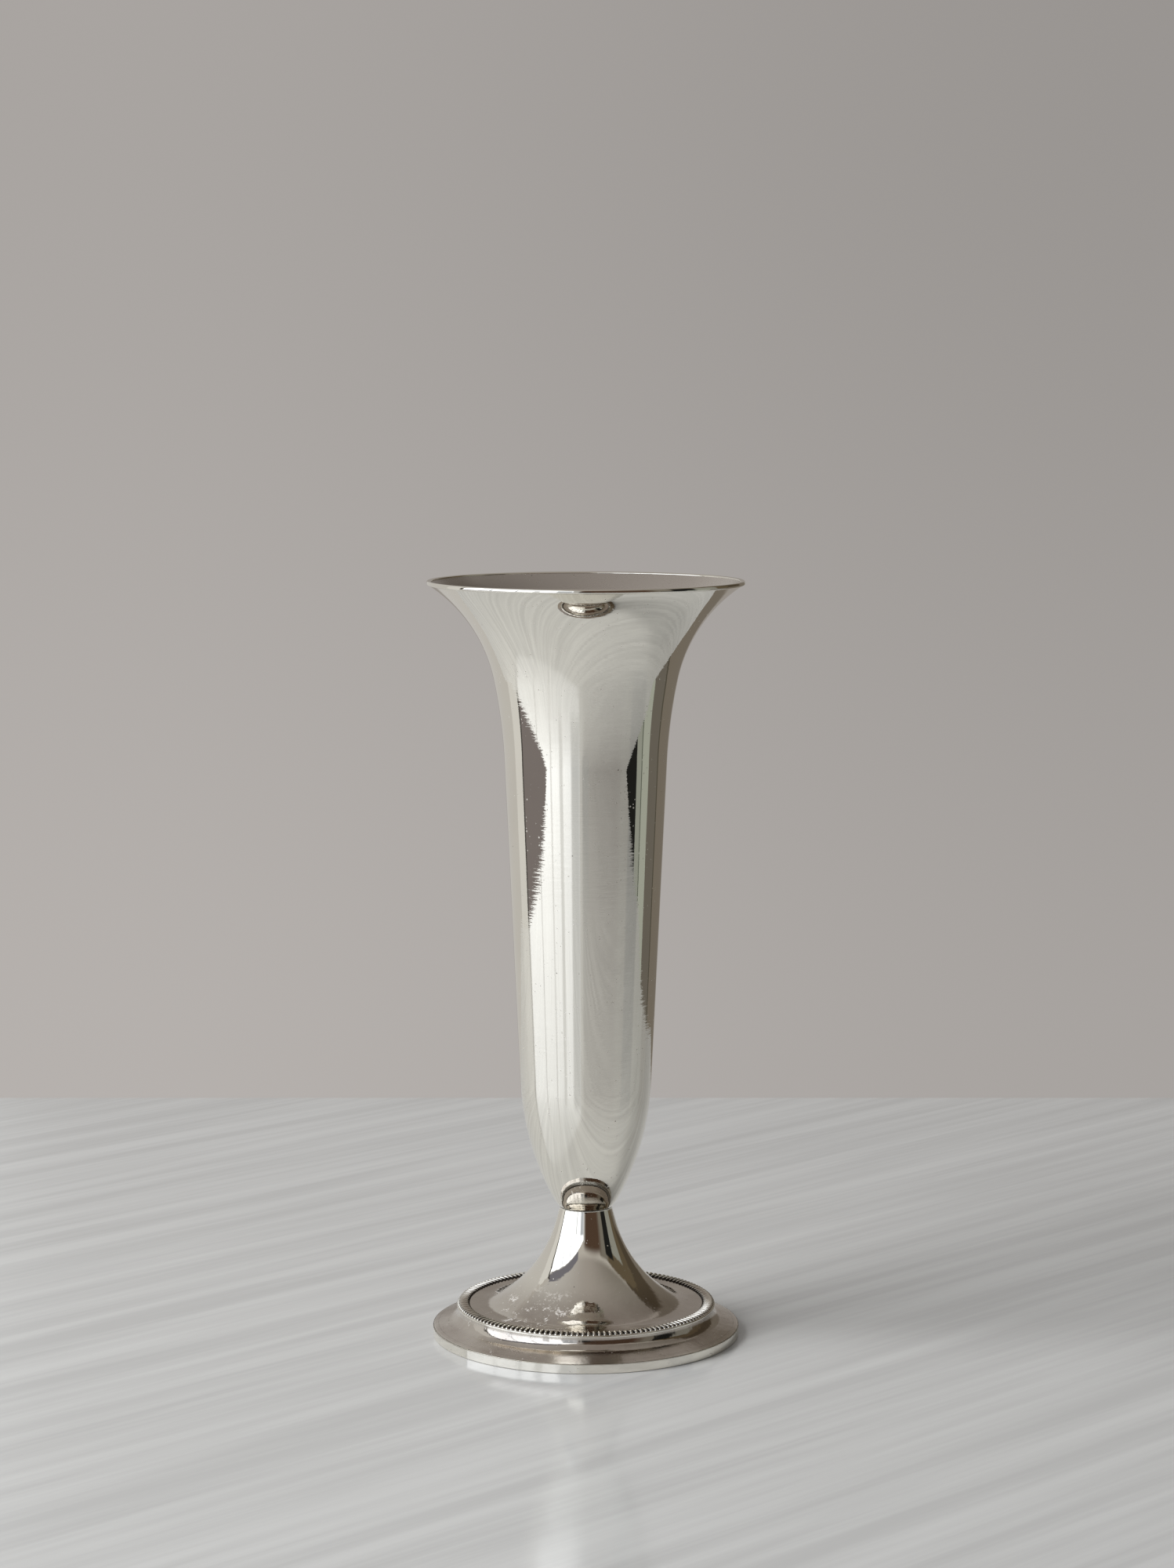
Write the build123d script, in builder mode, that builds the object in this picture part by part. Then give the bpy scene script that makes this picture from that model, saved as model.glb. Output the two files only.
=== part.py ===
from build123d import *
import os
from math import asin, cos, degrees, pi, radians, sin, sqrt, tan

# Trumpet vase in silver-plated sheet metal, standing on the XY plane with its axis on +Z.
# A spun body with a wire round its lip is bolted at the waist to a spun, hollow foot.
# The foot carries a border of small lobes and stands on a flat band round its edge.
# Lengths are in millimetres and angles in degrees.
# A lean is the angle between a side's outline and the vertical.

# Whole vase
vase_height = 200.0
upright_lean = 0.0
flat_lean = 90.0
half_turn = 180.0

# Foot: the band that it stands on, and the flange and cove above it
base_radius = 40.6
band_height = 2.5
band_thickness = 1.4
band_rounding = 0.35
solder_gap = 0.03
flange_width = 7.0
flange_slope = 13.5
cove_radius = 3.8
cove_undercut_height = 0.27
foot_wall = 0.9

# Foot: the stem that rises from the plate inside the border to the waist
stem_radius = 37.2
stem_lean = 59.1
neck_arc_radius = 11.4
neck_lean = 18.7
collar_height = 1.2
neck_radius = 6.93
neck_rounding = 0.25

# Border of lobes round the plate's edge
border_width = 3.3
border_overhang = 0.65
border_base_height = 0.7
border_rounding = 0.3
lobe_radius = 0.62
lobe_gap = 0.08
lobe_lift = 1.05
lobe_inner_margin = 0.08
lobe_outer_margin = 0.43

# Body: the bowl above the waist, the straight side, and the flare to the mouth
body_wall = 0.9
floor_thickness = 1.0
waist_radius = 7.05
waist_lean = 39.5
waist_rounding = 0.2
bowl_base_radius = 16.75
bowl_base_lean = 28.2
bowl_radius = 71.2
side_lean = 2.68
flare_radius = 134.9
flare_lean = 11.9
mouth_arc_radius = 39.3
mouth_lean = 56.4

# Wire round the lip, with a flat that sits on the edge of the body's wall
lip_wire_radius = 0.6
lip_seat_share = 0.7

# Stud under the body's floor, with the washer and nut that hold the foot to it
stud_radius = 2.5
stud_flange_radius = 4.4
stud_flange_gap = 0.1
stud_hole_clearance = 0.3
stud_beyond_nut = 2.0
washer_thickness = 1.0
washer_clearance = 0.3
washer_bore_clearance = 0.25
nut_sides = 6
nut_across_flats = 8.0
nut_height = 4.0
thread_clearance = 0.02


def arc_reach(radius, lean_from, lean_to):
    """Spread and rise of an arc whose lean, in radians, goes from one value to another."""
    spread = radius * abs(cos(lean_from) - cos(lean_to))
    rise = radius * abs(sin(lean_from) - sin(lean_to))
    return spread, rise


# Levels and radii of the foot, worked out from the table upwards
step_radius = base_radius - flange_width
border_outer_radius = step_radius + border_overhang
border_inner_radius = border_outer_radius - border_width
cove_centre_radius = step_radius + cove_radius
cove_foot_radius = cove_centre_radius - cove_radius * sin(radians(flange_slope))
cove_foot_height = band_height + (base_radius - cove_foot_radius) * tan(radians(flange_slope))
cove_centre_height = cove_foot_height + cove_radius * cos(radians(flange_slope))
seat_height = cove_centre_height + cove_undercut_height
band_seat_radius = base_radius - band_thickness

neck_spread, neck_rise = arc_reach(neck_arc_radius, radians(upright_lean), radians(neck_lean))
stem_spread, stem_rise = arc_reach(stem_radius, radians(neck_lean), radians(stem_lean))
stem_foot_radius = neck_radius + neck_spread + stem_spread
plate_radius = (border_inner_radius - stem_foot_radius) / cos(radians(stem_lean))
plate_rise = arc_reach(plate_radius, radians(stem_lean), radians(flat_lean))[1]
waist_height = seat_height + plate_rise + stem_rise + neck_rise + collar_height

# Edge of the mouth, and the length of the straight side that puts the lip at the vase's height
lip_seat_depth = lip_wire_radius * sqrt(1 - lip_seat_share**2)
lip_centre_height = vase_height - lip_wire_radius
mouth_middle_height = lip_centre_height - lip_seat_depth * cos(radians(mouth_lean))
mouth_edge_height = mouth_middle_height - body_wall / 2 * sin(radians(mouth_lean))
bowl_base_spread, bowl_base_rise = arc_reach(
    bowl_base_radius, radians(waist_lean), radians(bowl_base_lean)
)
bowl_spread, bowl_rise = arc_reach(bowl_radius, radians(bowl_base_lean), radians(side_lean))
flare_spread, flare_rise = arc_reach(flare_radius, radians(side_lean), radians(flare_lean))
mouth_spread, mouth_rise = arc_reach(mouth_arc_radius, radians(flare_lean), radians(mouth_lean))
arcs_rise = bowl_base_rise + bowl_rise + flare_rise + mouth_rise
side_rise = mouth_edge_height - waist_height - arcs_rise
side_length = side_rise / cos(radians(side_lean))
arcs_spread = bowl_base_spread + bowl_spread + flare_spread + mouth_spread
mouth_edge_radius = waist_radius + arcs_spread + side_length * sin(radians(side_lean))
mouth_middle_radius = mouth_edge_radius - body_wall / 2 * cos(radians(mouth_lean))
lip_centre_radius = mouth_middle_radius + lip_seat_depth * sin(radians(mouth_lean))

# Bolted joint at the waist, from the body's floor down to the end of the stud
stud_hole_radius = stud_flange_radius + stud_hole_clearance
stud_flange_height = foot_wall - stud_flange_gap
washer_top = waist_height - foot_wall
nut_top = washer_top - washer_thickness
nut_bottom = nut_top - nut_height
stud_bottom = nut_bottom - stud_beyond_nut
washer_radius = neck_radius - foot_wall - washer_clearance


def draw_body_side(inset):
    """Draw the body's side from waist to mouth, inset from its outer face, and return its ends."""
    heading = (sin(radians(waist_lean)), cos(radians(waist_lean)))
    start = (waist_radius - inset * heading[1], waist_height + inset * heading[0])
    bowl_base = JernArc(start, heading, bowl_base_radius - inset, waist_lean - bowl_base_lean)
    bowl = JernArc(bowl_base @ 1, bowl_base % 1, bowl_radius - inset, bowl_base_lean - side_lean)
    side = Line(bowl @ 1, bowl @ 1 + (bowl % 1) * side_length)
    flare = JernArc(side @ 1, side % 1, flare_radius + inset, side_lean - flare_lean)
    mouth = JernArc(flare @ 1, flare % 1, mouth_arc_radius + inset, flare_lean - mouth_lean)
    return bowl_base @ 0, mouth @ 1


def draw_foot_side(inset):
    """Draw the foot's side from neck to band, inset from its outer face, and return its ends."""
    collar_top = (neck_radius - inset, waist_height - inset)
    collar = Line(collar_top, (neck_radius - inset, waist_height - collar_height))
    neck = JernArc(collar @ 1, collar % 1, neck_arc_radius + inset, neck_lean)
    stem = JernArc(neck @ 1, neck % 1, stem_radius + inset, stem_lean - neck_lean)
    plate = JernArc(stem @ 1, stem % 1, plate_radius + inset, flat_lean - stem_lean)
    cove_arc_radius = cove_radius + inset
    step_level = seat_height - inset
    step_lean = degrees(asin((cove_centre_height - step_level) / cove_arc_radius))
    step = (cove_centre_radius - cove_arc_radius * cos(radians(step_lean)), step_level)
    Line(plate @ 1, step)
    heading = (sin(radians(step_lean)), -cos(radians(step_lean)))
    cove = JernArc(step, heading, cove_arc_radius, flat_lean - flange_slope - step_lean)
    flange_radius = band_seat_radius - solder_gap
    flange_top = band_height + (base_radius - flange_radius) * tan(radians(flange_slope))
    flange = Line(cove @ 1, (flange_radius, flange_top - inset / cos(radians(flange_slope))))
    return collar @ 0, flange @ 1


# Body: one spun shell, closed by a floor at the waist
with BuildPart() as vase_body:
    with BuildSketch(Plane.XZ) as body_section:
        with BuildLine():
            outer_waist, outer_mouth = draw_body_side(0)
            inner_waist, inner_mouth = draw_body_side(body_wall)
            Line(outer_mouth, inner_mouth)
            floor_top = (0, waist_height + floor_thickness)
            floor_bottom = (0, waist_height)
            Polyline(inner_waist, floor_top, floor_bottom, outer_waist)
        make_face()
        waist_corner = body_section.vertices().group_by(Axis.Y)[0].sort_by(Axis.X)[-1]
        fillet(waist_corner, waist_rounding)
    revolve(axis=Axis.Z)
vase_body.part.label = "vase_body"

# Lip: a round wire with a flat on the edge of the body's wall
with BuildPart() as lip_wire:
    with BuildSketch(Plane.XZ):
        with BuildLine():
            lip_centre = (lip_centre_radius, lip_centre_height)
            seat_half_angle = degrees(asin(lip_seat_share))
            seat_direction = half_turn + flat_lean - mouth_lean
            lip_start = seat_direction + seat_half_angle
            lip_turn = 2 * (half_turn - seat_half_angle)
            lip_arc = CenterArc(lip_centre, lip_wire_radius, lip_start, lip_turn)
            Line(lip_arc @ 1, lip_arc @ 0)
        make_face()
    revolve(axis=Axis.Z)
lip_wire.part.label = "lip_wire"

# Foot: one spun shell from the crown at the waist down to the flange inside the band
with BuildPart() as foot_shell:
    with BuildSketch(Plane.XZ) as foot_section:
        with BuildLine():
            outer_neck, outer_flange = draw_foot_side(0)
            inner_neck, inner_flange = draw_foot_side(foot_wall)
            Line(outer_flange, inner_flange)
            crown_top = (stud_hole_radius, waist_height)
            crown_bottom = (stud_hole_radius, waist_height - foot_wall)
            Polyline(outer_neck, crown_top, crown_bottom, inner_neck)
        make_face()
        neck_corner = foot_section.vertices().group_by(Axis.Y)[-1].sort_by(Axis.X)[-1]
        fillet(neck_corner, neck_rounding)
    revolve(axis=Axis.Z)
foot_shell.part.label = "foot_shell"

# Band: a flat wire round the foot's edge, its top in line with the flange
with BuildPart() as foot_band:
    with BuildSketch(Plane.XZ) as band_section:
        with BuildLine():
            band_inner_top = band_height + band_thickness * tan(radians(flange_slope))
            Polyline(
                (band_seat_radius, 0),
                (base_radius, 0),
                (base_radius, band_height),
                (band_seat_radius, band_inner_top),
                close=True,
            )
        make_face()
        band_corner = band_section.vertices().sort_by(Axis.X)[-2:].sort_by(Axis.Y)[-1]
        fillet(band_corner, band_rounding)
    revolve(axis=Axis.Z)
foot_band.part.label = "foot_band"

# Border: one lobe, a rounded bar that lies across the border's width
lobe_level = seat_height + lobe_lift
lobe_inner_end = border_inner_radius + lobe_inner_margin
lobe_outer_end = border_outer_radius - lobe_outer_margin
lobe_pitch = 2 * lobe_radius + lobe_gap
lobe_count = int(2 * pi * (lobe_inner_end + lobe_radius) / lobe_pitch)
with BuildPart() as lobe:
    with BuildSketch(Plane.XZ):
        with BuildLine():
            inner_end = (lobe_inner_end, lobe_level)
            inner_crown = (lobe_inner_end + lobe_radius, lobe_level + lobe_radius)
            outer_crown = (lobe_outer_end - lobe_radius, lobe_level + lobe_radius)
            outer_end = (lobe_outer_end, lobe_level)
            RadiusArc(inner_end, inner_crown, lobe_radius)
            Line(inner_crown, outer_crown)
            RadiusArc(outer_crown, outer_end, lobe_radius)
            Line(outer_end, inner_end)
        make_face()
    revolve(axis=Axis((0, 0, lobe_level), (1, 0, 0)))

# Border: a strip on the plate's edge with the lobes all round it
with BuildPart() as border_wire:
    with BuildSketch(Plane.XZ) as border_section:
        with BuildLine():
            border_base_top = seat_height + border_base_height
            Polyline(
                (border_inner_radius, seat_height),
                (border_outer_radius, seat_height),
                (border_outer_radius, border_base_top),
                (border_inner_radius, border_base_top),
                close=True,
            )
        make_face()
        fillet(border_section.vertices().sort_by(Axis.X)[-2:], border_rounding)
    revolve(axis=Axis.Z)
    with PolarLocations(0, lobe_count):
        add(lobe.part)
border_wire.part.label = "border_wire"

# Stud: its flange is soldered under the body's floor, inside the hole in the foot's crown
with BuildPart() as waist_stud:
    with BuildSketch(Plane.XY.offset(waist_height)):
        Circle(stud_flange_radius)
    extrude(amount=-stud_flange_height)
    with BuildSketch(Plane.XY.offset(waist_height - stud_flange_height)):
        Circle(stud_radius)
    extrude(amount=stud_bottom - waist_height + stud_flange_height)
waist_stud.part.label = "waist_stud"

# Washer: bridges the hole in the foot's crown
with BuildPart() as waist_washer:
    with BuildSketch(Plane.XY.offset(washer_top)):
        Circle(washer_radius)
        Circle(stud_radius + washer_bore_clearance, mode=Mode.SUBTRACT)
    extrude(amount=-washer_thickness)
waist_washer.part.label = "waist_washer"

# Nut: draws the foot up against the body
with BuildPart() as waist_nut:
    with BuildSketch(Plane.XY.offset(nut_top)):
        RegularPolygon(nut_across_flats / 2, nut_sides, major_radius=False)
        Circle(stud_radius + thread_clearance, mode=Mode.SUBTRACT)
    extrude(amount=-nut_height)
waist_nut.part.label = "waist_nut"

os.makedirs("parts", exist_ok=True)
for piece in (
    vase_body,
    lip_wire,
    foot_shell,
    foot_band,
    border_wire,
    waist_stud,
    waist_washer,
    waist_nut,
):
    export_step(piece.part, f"parts/{piece.part.label}.step")
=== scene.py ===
from math import asin, atan2, cos, pi, radians, sin, sqrt, tan

import bpy
from bpy.props import FloatProperty, FloatVectorProperty, IntProperty, PointerProperty
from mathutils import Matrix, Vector


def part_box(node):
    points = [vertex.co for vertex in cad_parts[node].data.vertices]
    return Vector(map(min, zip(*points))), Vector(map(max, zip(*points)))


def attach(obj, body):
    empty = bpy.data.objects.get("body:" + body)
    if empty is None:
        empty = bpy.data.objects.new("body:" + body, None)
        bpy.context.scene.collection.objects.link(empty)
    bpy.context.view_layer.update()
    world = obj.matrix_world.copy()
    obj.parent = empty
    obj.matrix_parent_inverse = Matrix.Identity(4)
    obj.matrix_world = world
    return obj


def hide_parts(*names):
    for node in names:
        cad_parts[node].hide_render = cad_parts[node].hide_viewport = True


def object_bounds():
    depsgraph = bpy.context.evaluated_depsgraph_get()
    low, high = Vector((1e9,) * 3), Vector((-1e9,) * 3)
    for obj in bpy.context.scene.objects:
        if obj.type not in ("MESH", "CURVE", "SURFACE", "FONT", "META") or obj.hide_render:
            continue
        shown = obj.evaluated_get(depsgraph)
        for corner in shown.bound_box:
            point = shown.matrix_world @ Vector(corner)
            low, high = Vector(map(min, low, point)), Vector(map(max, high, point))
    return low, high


bl_info = {
    "name": "Trumpet vase",
    "version": (1, 0, 0),
    "blender": (4, 5, 0),
    "location": "View3D > Sidebar > Vase",
    "description": "Builds a silver-plated trumpet vase on a lobed foot around its CAD frame",
    "category": "Object",
}

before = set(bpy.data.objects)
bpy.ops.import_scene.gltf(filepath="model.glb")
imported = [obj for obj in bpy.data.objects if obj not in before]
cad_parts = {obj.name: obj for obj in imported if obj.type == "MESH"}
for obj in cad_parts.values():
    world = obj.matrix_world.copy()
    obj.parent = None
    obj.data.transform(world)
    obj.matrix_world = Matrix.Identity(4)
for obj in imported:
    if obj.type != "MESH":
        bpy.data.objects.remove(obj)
cad_low, cad_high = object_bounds()

MM = 0.001
FULL_TURN = 2 * pi
UPRIGHT = 0.0
FLAT = pi / 2
WAIST_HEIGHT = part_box("vase_body")[0].z
BASE_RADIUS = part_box("foot_band")[1].x
TABLE_LEVEL = -0.05 * MM
# Corners of the table top round the vase, in millimetres, from the back left on
TABLE_PLAN = ((-484, 306), (-590, -290), (-1122, -1250), (998, -1250), (530, 0), (430, 50), (240, 306))
# Steps round the axis and round the lip wire, and the angle from which an edge stays sharp
BODY_STEPS = 224
RING_STEPS = 256
LIP_STEPS = 56
SHARP_EDGE = radians(32)
# Gap between the plate's edge and the border's strip
STRIP_GAP = 0.02 * MM
# How deep the lobes are sunk into the strip, and how far from its inner edge they start
LOBE_ROOT = 0.1 * MM
LOBE_START = 0.05 * MM
# Stations along a lobe, as shares of its length, of the pitch and of its height
LOBE_STATIONS = (
    (0.02, 0.30, 0.36),
    (0.09, 0.46, 0.68),
    (0.22, 0.52, 0.88),
    (0.40, 0.56, 0.97),
    (0.58, 0.62, 1.00),
    (0.74, 0.68, 0.96),
    (0.88, 0.68, 0.78),
    (0.97, 0.46, 0.42),
)
# Heights of a lobe's inner and outer end points, as shares of its height
LOBE_ENDS = (0.12, 0.10)
# The soft lamp, in metres
LAMP_PLACE = Vector((-1.35, -0.50, 1.0))
LAMP_AIM = Vector((0, 0.1, 0))
LAMP_SIZE = (1.3, 1.1)
LAMP_SPREAD = radians(110)
# Upright boards that the metal mirrors: the bearing that each faces and those of its edges, in degrees
# to the right of the camera's side, its lower and upper edges as rise over distance, its softness and
# its shade
BOARDS = (
    ("left pale card", -140, -175, -103, -2, 0.80, 0.05, (0.53, 0.515, 0.495)),
    ("near left pale card", -110, -119, -101, -2, 0.80, 0.02, (0.66, 0.65, 0.63)),
    ("back card", 177, 160, 190, -2, 0.80, 0.03, (0.31, 0.285, 0.262)),
    ("right card", 145, 123, 166, -2, 0.80, 0.03, (0.170, 0.148, 0.122)),
    ("dark brown card", 127, 107, 147, -0.01, 0.95, 0.05, (0.068, 0.053, 0.036)),
    ("brown card", 97, 62, 125, -0.01, 0.88, 0.05, (0.105, 0.082, 0.052)),
    ("pale strip", 97, 85, 109, -0.01, 0.53, 0.03, (0.25, 0.25, 0.222)),
    ("side card", 55, 46, 70, -2, 0.78, 0.06, (0.175, 0.16, 0.135)),
    ("black strip", 76, 65, 86, -0.01, 0.66, 0.03, (0.013, 0.013, 0.012)),
    ("low brown card", 110, 100, 123, -2, -0.01, 0.01, (0.135, 0.122, 0.104)),
    ("low pale strip", 94, 87, 101, -2, -0.01, 0.008, (0.345, 0.365, 0.32)),
    ("low grey strip", 82, 76, 87, -2, -0.01, 0.008, (0.275, 0.29, 0.255)),
    ("low gap", 87, 86, 87.6, -2, -0.01, 0.004, (0.10, 0.11, 0.09)),
    ("low far gap", 123, 122, 125, -2, -0.01, 0.008, (0.08, 0.072, 0.055)),
    ("low black strip", 67, 55, 77.5, -2, -0.01, 0.008, (0.013, 0.013, 0.012)),
    ("front dark card", 22, -6, 50, -2, 0.76, 0.14, (0.075, 0.046, 0.031)),
    ("front grey strip", -5, -14, -4, -2, 0.55, 0.03, (0.45, 0.44, 0.43)),
    ("front black strip", 0, -5, 4, -2, 0.26, 0.02, (0.014, 0.012, 0.012)),
    ("low left card", -80, -101, -50, -2, -0.01, 0.008, (0.195, 0.172, 0.169)),
    ("card over the light", -65, -102, -25, 0.92, 1.22, 0.04, (0.17, 0.165, 0.19)),
    ("light", -65, -99, -9, -0.01, 0.90, 0.02, (1.70, 1.77, 1.90)),
    ("dim side of the light", -15, -21, -9, -0.01, 0.42, 0.03, (0.50, 0.53, 0.58)),
    ("dark edge of the light", -101, -102.6, -100, -2, 0.90, 0.006, (0.07, 0.065, 0.06)),
    ("left bar", -65, -73, -71.4, -0.01, 0.90, 0.006, (0.50, 0.52, 0.58)),
    ("middle bar", -65, -52, -50, -0.01, 0.90, 0.010, (0.66, 0.68, 0.74)),
    ("right bar", -65, -38, -33, -0.01, 0.45, 0.02, (0.80, 0.83, 0.88)),
)
# Least distance to a board's plane at which it still shows
GRAZING = 0.02


# Properties: the sizes and colours that a user would change


def millimetres(name, description, size):
    """A length property whose default is given in millimetres."""
    return FloatProperty(
        name=name, description=description, default=size * MM, min=0.0, precision=5, unit="LENGTH"
    )


def lean(name, description, degrees):
    """An angle property for how far an outline leans from the vertical."""
    return FloatProperty(name=name, description=description, default=radians(degrees), subtype="ANGLE")


def colour(name, description, shade):
    """A colour property."""
    return FloatVectorProperty(
        name=name, description=description, default=shade, size=3, min=0.0, max=1.0, subtype="COLOR"
    )


class BodySizes(bpy.types.PropertyGroup):
    """Sizes of the spun body and the wire round its lip."""

    waist_radius: millimetres("Waist radius", "Radius where the body meets the foot", 7.05)
    waist_lean: lean("Waist lean", "Lean of the side just above the waist", 39.5)
    waist_rounding: millimetres("Waist rounding", "Rounding of the body's lower edge", 0.2)
    bowl_base_radius: millimetres("Bowl base radius", "Radius of the arc above the waist", 16.75)
    bowl_base_lean: lean("Bowl base lean", "Lean where the bowl's two arcs meet", 28.2)
    bowl_radius: millimetres("Bowl radius", "Radius of the long arc up the bowl", 71.2)
    side_lean: lean("Side lean", "Lean of the straight side", 2.68)
    flare_radius: millimetres("Flare radius", "Radius of the arc where the side starts to flare", 134.9)
    flare_lean: lean("Flare lean", "Lean where the flare's two arcs meet", 11.9)
    mouth_arc_radius: millimetres("Mouth arc radius", "Radius of the arc out to the mouth", 39.3)
    mouth_lean: lean("Mouth lean", "Lean of the wall at the mouth", 56.4)
    wall: millimetres("Wall", "Thickness of the body's sheet", 0.9)
    floor_thickness: millimetres("Floor thickness", "Thickness of the floor at the waist", 1.0)
    lip_radius: millimetres("Lip wire radius", "Radius of the wire round the lip", 0.6)
    lip_tilt: lean("Lip tilt", "How far the outer face of the lip wire looks up", 12.0)
    lip_seat_share: FloatProperty(
        name="Lip seat share",
        description="Half width of the wire's flat as a share of its radius",
        default=0.7,
        min=0.1,
        max=0.9,
        subtype="FACTOR",
    )


class FootSizes(bpy.types.PropertyGroup):
    """Sizes of the spun foot, the band under it and the border of lobes on it."""

    band_height: millimetres("Band height", "Height of the upright band", 2.5)
    band_thickness: millimetres("Band thickness", "Thickness of the band", 1.4)
    band_rounding: millimetres("Band rounding", "Rounding of the band's top edge", 0.35)
    band_base_rounding: millimetres("Band base rounding", "Rounding of the band's bottom edge", 0.12)
    solder_gap: millimetres("Solder gap", "Gap between the foot and the band", 0.03)
    flange_width: millimetres("Flange width", "Width of the foot outside its plate", 7.0)
    flange_slope: lean("Flange slope", "Slope of the flange from the horizontal", 19.0)
    cove_radius: millimetres("Cove radius", "Radius of the cove above the flange", 3.2)
    cove_undercut: millimetres("Cove undercut", "Height of the plate's seat above the cove's centre", 0.27)
    wall: millimetres("Wall", "Thickness of the foot's sheet", 0.9)
    stem_radius: millimetres("Stem radius", "Radius of the long arc down the stem", 34.5)
    stem_lean: lean("Stem lean", "Lean where the stem's arc meets the plate's", 59.1)
    neck_arc_radius: millimetres("Neck arc radius", "Radius of the slight arc down the neck", 223.0)
    neck_top_lean: lean("Neck top lean", "Lean of the neck under the collar", 15.0)
    neck_lean: lean("Neck lean", "Lean where the neck's arc meets the stem's", 16.2)
    collar_height: millimetres("Collar height", "Height of the upright collar under the waist", 0.35)
    neck_radius: millimetres("Neck radius", "Radius of the collar", 6.93)
    neck_rounding: millimetres("Neck rounding", "Rounding of the collar's top edge", 0.25)
    crown_hole: millimetres("Crown hole", "Radius of the hole in the crown for the stud", 4.7)
    border_width: millimetres("Border width", "Width of the border strip", 3.3)
    border_overhang: millimetres("Border overhang", "How far the border stands out over the cove", 0.65)
    border_base: millimetres("Border base", "Thickness of the strip under the lobes", 0.7)
    border_rounding: millimetres("Border rounding", "Rounding of the strip's outer edge", 0.3)
    border_edge: millimetres("Border edge", "Width of the plain edge outside the lobes", 0.36)
    border_edge_drop: millimetres("Border edge drop", "How far the plain edge slopes down", 0.22)
    plate_lift: millimetres("Plate lift", "Height of the plate's edge above the border's seat", 0.72)
    lobe_height: millimetres("Lobe height", "Height of the lobes above the strip", 0.72)
    lobe_count: IntProperty(name="Lobes", description="Lobes round the border", default=150, min=24)


class FinishColours(bpy.types.PropertyGroup):
    """Colours of the vase's metal."""

    silver: colour("Silver", "Clean polished plate", (0.905, 0.877, 0.80))
    film: colour("Film", "Plate under a film of tarnish", (0.46, 0.405, 0.362))
    inside: colour("Inside", "Dull unpolished inside", (0.40, 0.362, 0.325))
    # Dark colour for the pits, and for the tarnish and painted shade in seams and between the border's
    # lobes
    tarnish_and_shade: colour("Crevice", "Old tarnish in seams and gaps", (0.045, 0.036, 0.03))
    bloom: colour("Bloom", "Whitish spots where the plate is pitted", (0.70, 0.68, 0.65))
    brass: colour("Brass", "Turned brass of the fasteners", (0.72, 0.56, 0.30))
    brass_dull: colour("Dull brass", "Brass where it has dulled", (0.42, 0.31, 0.16))


class StageSettings(bpy.types.PropertyGroup):
    """Camera, table and light round the vase."""

    camera_distance: millimetres("Camera distance", "Distance in front of the vase's axis", 918.6)
    camera_height: millimetres("Camera height", "Height above the table", 253.2)
    camera_side: millimetres("Camera side", "Distance to the right of the vase's axis", 0.3)
    camera_dip: lean("Camera dip", "How far the camera looks down", 6.613)
    lens: FloatProperty(
        name="Lens", description="Focal length on a 36 mm frame", default=81.2, unit="CAMERA"
    )
    table_corner: millimetres("Table corner", "Radius of the table's corners", 40.0)
    table_thickness: millimetres("Table thickness", "Thickness of the table top", 22.0)
    table_shade: colour("Table", "Pale table top", (0.44, 0.442, 0.437))
    wall_shade: colour("Wall", "Plain wall behind the vase", (0.468, 0.440, 0.420))
    fill_shade: colour("Fill", "Soft light from all round", (0.33, 0.33, 0.33))
    lamp_power: FloatProperty(
        name="Lamp", description="Power of the soft lamp at the left", default=21.5, unit="POWER"
    )


# Outlines: half sections that are spun round the axis


class Outline:
    """A half section of a spun piece, as points of radius and height."""

    def __init__(self, radius, height):
        self.points = [(radius, height)]

    def put(self, radius, height):
        self.points.append((radius, height))

    def line(self, radius, height, pieces=8):
        """Go straight to a point, in pieces that are shorter towards the ends."""
        from_radius, from_height = self.points[-1]
        for i in range(1, pieces + 1):
            share = (1 - cos(pi * i / pieces)) / 2
            spread, rise = (radius - from_radius) * share, (height - from_height) * share
            self.put(from_radius + spread, from_height + rise)

    def arc(self, radius, lean_from, lean_to, pieces, rising=1):
        """Follow an arc along which the lean goes from one value to another."""
        from_radius, from_height = self.points[-1]
        bend = 1 if lean_to > lean_from else -1
        for i in range(1, pieces + 1):
            now = lean_from + (lean_to - lean_from) * i / pieces
            spread = bend * radius * (cos(lean_from) - cos(now))
            rise = bend * radius * (sin(now) - sin(lean_from))
            self.put(from_radius + spread, from_height + rising * rise)

    def soften(self, corner, radius, pieces=6):
        """Round off one corner of the outline with a small arc."""
        before, at, after = (Vector(p) for p in self.points[corner - 1 : corner + 2])
        back, on = (before - at).normalized(), (after - at).normalized()
        half = back.angle(on) / 2
        centre = at + (back + on).normalized() * (radius / sin(half))
        first = at + back * (radius / tan(half)) - centre
        last = at + on * (radius / tan(half)) - centre
        start = atan2(first.y, first.x)
        turn = (atan2(last.y, last.x) - start + pi) % FULL_TURN - pi
        turns = [start + turn * i / pieces for i in range(pieces + 1)]
        self.points[corner : corner + 1] = [
            (centre.x + radius * cos(angle), centre.y + radius * sin(angle)) for angle in turns
        ]


def steps(count, fineness, least=4):
    """Steps along a stretch of outline at a fineness."""
    return max(least, int(count * fineness))


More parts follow.
